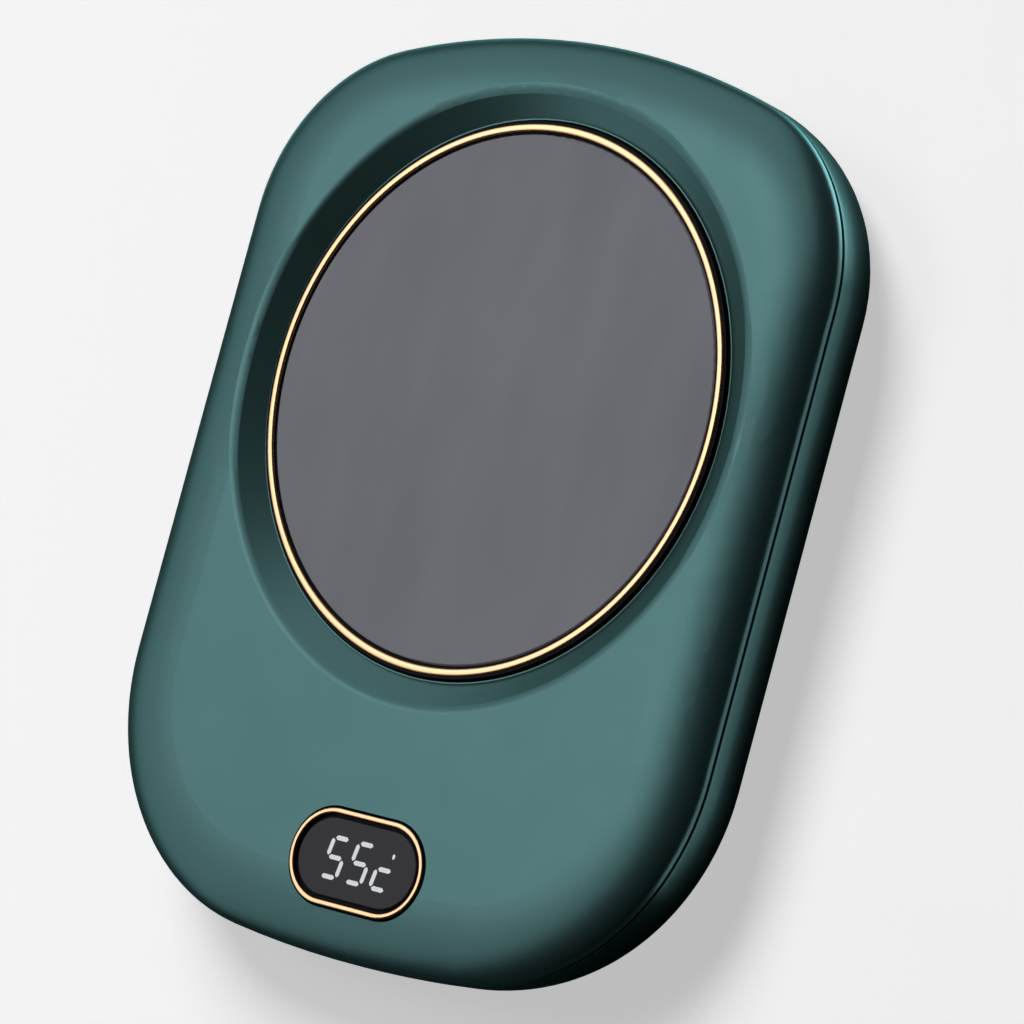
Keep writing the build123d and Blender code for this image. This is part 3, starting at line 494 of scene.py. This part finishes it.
# Heater foil: an etched metal track between two amber polyimide films, bonded under the spreader. The track
# runs in rings round the middle.
amber_film = Finish("amber_film", Specular_IOR_Level=0.5)
plate_centre = amber_film.node(
    "ShaderNodeMapping",
    {"vector_type": "POINT"},
    {"Vector": amber_film.place, "Location": (0, -plate_centre_y, 0)},
)
rings = amber_film.node(
    "ShaderNodeTexWave",
    {"wave_type": "RINGS", "rings_direction": "Z", "wave_profile": "SIN"},
    {"Vector": plate_centre, "Scale": 60.0},
    output="Fac",
)
track = amber_film.between(rings, 0.42, 0.5)
amber_film.cover(
    Base_Color=amber_film.mix(track, (0.42, 0.16, 0.02, 1), (0.55, 0.33, 0.16, 1)),
    Roughness=amber_film.between(amber_film.noise(0.002), 0.3, 0.7, 0.22, 0.34),
    Metallic=0.7 * track,
)
amber_film.relief(track, 0.00003)
dress(amber_film, "heater_foil")

# Insulation pad: a disc of needled ceramic-fibre felt, cut out round the sensor and the fuse. The clamp plate
# presses it up against the foil.
felt = Finish("felt", Roughness=0.95, Specular_IOR_Level=0.1)
fibres = felt.noise(0.0009, detail=6, roughness=0.7, stretch=(1, 1, 2))
felt.cover(Base_Color=felt.mix(felt.between(fibres, 0.3, 0.7), (0.56, 0.53, 0.47, 1), (0.83, 0.81, 0.76, 1)))
felt.relief(fibres, 0.0002)
dress(felt, "insulation_pad")

# Clamp plate: pressed from steel sheet that has a bright zinc spangle. Four screws hold it under the carrier,
# and it keeps the stack above it together.
spangle_zinc = Finish("spangle_zinc", Metallic=1.0)
crystals = spangle_zinc.node(
    "ShaderNodeTexVoronoi", {"feature": "F1"}, {"Vector": spangle_zinc.place, "Scale": 250.0}, output="Color"
)
crystal = spangle_zinc.node("ShaderNodeSeparateColor", {}, {"Color": crystals})
spangle_zinc.cover(
    Base_Color=spangle_zinc.mix(crystal, (0.5, 0.51, 0.53, 1), (0.66, 0.67, 0.68, 1)),
    Roughness=spangle_zinc.between(crystal, 0.0, 1.0, 0.28, 0.46),
)
dress(spangle_zinc, "heater_clamp_plate")

# Temperature sensor and thermal fuse: a block of black resin and one of white ceramic, each in its own cut-out
# of the pad, up against the foil.
black_resin = moulded(
    "black_resin", (0.016, 0.016, 0.017, 1), (0.026, 0.026, 0.027, 1), 0.45, Specular_IOR_Level=0.4
)
white_ceramic = moulded("white_ceramic", (0.68, 0.65, 0.58, 1), (0.76, 0.73, 0.67, 1), 0.6, 0.00001, 0.0003)
dress(black_resin, "temperature_sensor")
dress(white_ceramic, "thermal_fuse")

# Plate springs: four compression springs, wound from drawn steel wire, between seats in the bottom cover and
# the carrier's flange. They shorten by the plate's travel of 1 mm.
spring_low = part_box("plate_springs")[0][2]
spring_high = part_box("plate_springs")[1][2]
wire_radius = 0.00025
coil_radius = 0.00225
coil_turns = 5.5
bpy.ops.mesh.primitive_circle_add(
    vertices=10, radius=wire_radius, location=(coil_radius, 0, wire_radius), rotation=(pi / 2, 0, 0)
)
springs = bpy.context.object
springs.name = "coil_springs"
bpy.ops.object.transform_apply(location=True, rotation=True, scale=True)
winding = springs.modifiers.new("winding", "SCREW")
winding.axis = "Z"
winding.angle = 2 * pi * coil_turns
winding.screw_offset = spring_high - spring_low - 2 * wire_radius
winding.steps = winding.render_steps = 150
bpy.ops.object.modifier_apply(modifier="winding")
bpy.ops.object.mode_set(mode="EDIT")
bpy.ops.mesh.select_all(action="SELECT")
bpy.ops.mesh.remove_doubles(threshold=0.000001)
bpy.ops.mesh.select_all(action="DESELECT")
bpy.ops.mesh.select_mode(type="EDGE")
bpy.ops.mesh.select_non_manifold()
bpy.ops.mesh.edge_face_add()
bpy.ops.mesh.select_all(action="SELECT")
bpy.ops.mesh.normals_make_consistent(inside=False)
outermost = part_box("plate_springs")[1][0]
seat = outermost - coil_radius - wire_radius
bpy.ops.transform.translate(value=(seat, plate_centre_y + seat, spring_low))
bpy.ops.mesh.duplicate()
bpy.ops.transform.translate(value=(-2 * seat, 0, 0))
bpy.ops.mesh.duplicate()
bpy.ops.transform.translate(value=(0, -2 * seat, 0))
bpy.ops.mesh.duplicate()
bpy.ops.transform.translate(value=(2 * seat, 0, 0))
bpy.ops.object.mode_set(mode="OBJECT")
bpy.ops.object.shade_smooth_by_angle(angle=radians(40))
spring_steel = plated("spring_steel", (0.5, 0.5, 0.51, 1), (0.6, 0.6, 0.61, 1), 0.26)
springs.data.materials.append(spring_steel.material)
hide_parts("plate_springs")
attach(springs, "housing")
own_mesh(springs)

# Plate switch: a moulded tact switch with a red plunger, on a small board of its own under the middle of the
# plate. The key has two more of the same finish on the control board.
switch_black = moulded("switch_black", (0.02, 0.02, 0.021, 1), (0.03, 0.03, 0.031, 1), 0.42)
plunger_red = moulded("plunger_red", (0.5, 0.05, 0.03, 1), (0.6, 0.07, 0.04, 1), 0.4)
dress(switch_black, "plate_switch", "key_switches")
dress(plunger_red, "plate_switch_plunger", "key_switch_plungers")

# Circuit boards: glass-epoxy laminate under green solder mask, with copper tracks that stand a little proud.
# All three are screwed down to posts in the bottom cover.
solder_mask = Finish("solder_mask", Specular_IOR_Level=0.5)
cells = solder_mask.node(
    "ShaderNodeTexBrick",
    {"offset": 0.37, "squash": 1.6, "squash_frequency": 3},
    {
        "Vector": solder_mask.place,
        "Scale": 420.0,
        "Mortar Size": 0.06,
        "Mortar Smooth": 0.2,
        "Brick Width": 0.9,
        "Row Height": 0.42,
    },
    output="Fac",
)
weave = solder_mask.noise(0.0006, detail=2)
solder_mask.cover(
    Base_Color=solder_mask.mix(cells, (0.008, 0.075, 0.03, 1), (0.02, 0.15, 0.06, 1)),
    Roughness=solder_mask.between(weave, 0.3, 0.7, 0.22, 0.32),
)
solder_mask.relief(cells, 0.00003)
dress(solder_mask, "sensor_board", "control_board", "usb_board")

# Components of the control board: moulded chips, sleeved capacitors, a ferrite inductor, a buzzer and white
# nylon connectors, all soldered to it.
chip_resin = moulded("chip_resin", (0.012, 0.012, 0.013, 1), (0.02, 0.02, 0.021, 1), 0.5, 0.00001, 0.0002)
sleeve = plated("sleeve", (0.62, 0.62, 0.64, 1), (0.7, 0.7, 0.71, 1), 0.25)
ferrite = moulded("ferrite", (0.035, 0.035, 0.037, 1), (0.05, 0.05, 0.052, 1), 0.65, 0.00002, 0.0004)
buzzer_black = moulded("buzzer_black", (0.014, 0.014, 0.015, 1), (0.02, 0.02, 0.021, 1), 0.35)
natural_nylon = moulded("natural_nylon", (0.72, 0.69, 0.58, 1), (0.78, 0.75, 0.66, 1), 0.42)
dress(chip_resin, "board_chips")
dress(sleeve, "board_capacitors")
dress(ferrite, "power_inductor")
dress(buzzer_black, "buzzer")
dress(natural_nylon, "wire_headers")

# Socket: a drawn steel shell round a moulded black tongue, soldered to its own board behind the opening in
# the rear wall.
drawn_steel = plated("drawn_steel", (0.56, 0.56, 0.57, 1), (0.66, 0.66, 0.67, 1), 0.24, scratch=(1, 0.1, 1))
tongue_black = moulded("tongue_black", (0.012, 0.012, 0.013, 1), (0.02, 0.02, 0.021, 1), 0.4)
dress(drawn_steel, "usb_socket_shell")
dress(tongue_black, "usb_socket_tongue")

# Contacts: twelve gilt strips on each face of the tongue, stamped and laid in its moulding so that they stand
# a hair proud of it.
tongue_low, tongue_high = (Vector(corner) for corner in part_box("usb_socket_tongue"))
contact_pitch = 0.0005
contact_width = 0.00026
contact_length = 0.0042
contact_proud = 0.00003
contact_setback = 0.0004
contacts_across = 12
bpy.ops.object.select_all(action="DESELECT")
strips = []
for face_level in (tongue_high.z, tongue_low.z):
    for place in range(contacts_across):
        across = (place - (contacts_across - 1) / 2) * contact_pitch
        along = tongue_high.y - contact_setback - contact_length / 2
        bpy.ops.mesh.primitive_cube_add(size=1.0, location=(across, along, face_level))
        strip = bpy.context.object
        strip.scale = (contact_width, contact_length, 2 * contact_proud)
        bpy.ops.object.transform_apply(location=True, rotation=True, scale=True)
        softened = strip.modifiers.new("softened", "BEVEL")
        softened.width = 0.8 * contact_proud
        softened.segments = 2
        bpy.ops.object.modifier_apply(modifier="softened")
        strips.append(strip)
bpy.ops.object.select_all(action="DESELECT")
for strip in strips:
    strip.select_set(True)
bpy.context.view_layer.objects.active = strips[0]
bpy.ops.object.join()
contacts = bpy.context.object
contacts.name = "socket_contacts"
contacts.data.materials.append(gold.material)
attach(contacts, "housing")


# Leads: pairs of stranded wire in soft sleeves. Those of the heater and the sensor come down from the plate
# and bend with it, between 6.7 and 10 mm above the table. The others lie still.
def sleeved(name, colour, tint, roughness):
    """Extruded wire covering, with faint ripples along it."""
    return moulded(name, colour, tint, roughness, 0.00001, 0.0006, Specular_IOR_Level=0.4)


heater_sleeve = sleeved("heater_sleeve", (0.55, 0.52, 0.45, 1), (0.62, 0.59, 0.53, 1), 0.5)
sensor_sleeve = sleeved("sensor_sleeve", (0.03, 0.03, 0.032, 1), (0.05, 0.05, 0.052, 1), 0.4)
switch_sleeve = sleeved("switch_sleeve", (0.5, 0.5, 0.52, 1), (0.6, 0.6, 0.62, 1), 0.4)
power_sleeve = sleeved("power_sleeve", (0.42, 0.02, 0.015, 1), (0.5, 0.03, 0.02, 1), 0.4)
dress(switch_sleeve, "switch_leads")
dress(power_sleeve, "power_leads")


def soft_twin(node_name, piece_name):
    """A piece of its own with the shape of a CAD node, without the node's rig labels."""
    twin = nodes[node_name].copy()
    twin.data = nodes[node_name].data.copy()
    for label in [label for label in twin.keys() if label.startswith("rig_")]:
        del twin[label]
    twin.parent = None
    twin.name = piece_name
    scene.collection.objects.link(twin)
    return twin


for node_name, piece_name, slot_name, sleeve_finish in (
    ("heater_leads", "heater_wires", "heater_wire", heater_sleeve),
    ("sensor_leads", "sensor_wires", "sensor_wire", sensor_sleeve),
):
    wires = soft_twin(node_name, piece_name)
    bpy.ops.object.select_all(action="DESELECT")
    wires.select_set(True)
    bpy.context.view_layer.objects.active = wires
    bpy.ops.object.mode_set(mode="EDIT")
    bpy.ops.mesh.select_all(action="SELECT")
    bpy.ops.mesh.remove_doubles(threshold=0.000001)
    bpy.ops.object.mode_set(mode="OBJECT")
    wires.material_slots[0].material = sleeve_finish.material
    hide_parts(node_name)
    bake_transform(wires)

# Key gasket: a sleeve of clear silicone, moulded in one piece, that stands on the control board round the
# digit module. It shortens by the key's travel of half a millimetre.
gasket = soft_twin("key_gasket", "silicone_sleeve")
clear_silicone = moulded(
    "clear_silicone", (0.4, 0.4, 0.39, 1), (0.5, 0.5, 0.49, 1), 0.5, 0.00001, 0.0003, Subsurface_Weight=0.2
)
gasket.material_slots[0].material = clear_silicone.material
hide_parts("key_gasket")
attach(gasket, "housing")
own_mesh(gasket)

# Digit module: a white moulded block on the control board under the window, which holds the lights of the
# read-out.
module_white = moulded("module_white", (0.62, 0.62, 0.62, 1), (0.7, 0.7, 0.7, 1), 0.5)
dress(module_white, "digit_module")

# Window: an obround pane of smoked acrylic, seated in the key frame inside its ring. Its hard coat shows very
# faint smears.
smoked_acrylic = Finish("smoked_acrylic", Specular_IOR_Level=0.15)
smear = smoked_acrylic.noise(0.004, detail=4, stretch=(1, 0.4, 1))
smoked_acrylic.cover(
    Base_Color=smoked_acrylic.mix(
        smoked_acrylic.between(smear, 0.35, 0.7), (0.011, 0.011, 0.015, 1), (0.015, 0.015, 0.019, 1)
    ),
    Roughness=smoked_acrylic.between(smear, 0.3, 0.7, 0.25, 0.34),
)
dress(smoked_acrylic, "display_lens")

# Digit bars: milky light guides set flush in the window and lit from below, a little unevenly. Only the bars
# that are lit are there.
light_guide = Finish("light_guide", Specular_IOR_Level=0.3, Emission_Strength=0.2)
unevenness = light_guide.noise(0.0015, detail=2)
light_guide.cover(
    Base_Color=light_guide.mix(unevenness, (0.5, 0.52, 0.54, 1), (0.62, 0.64, 0.66, 1)),
    Emission_Color=light_guide.mix(unevenness, (0.62, 0.66, 0.70, 1), (0.8, 0.83, 0.86, 1)),
    Roughness=light_guide.between(unevenness, 0.3, 0.7, 0.35, 0.5),
)
dress(light_guide, "digit_windows")
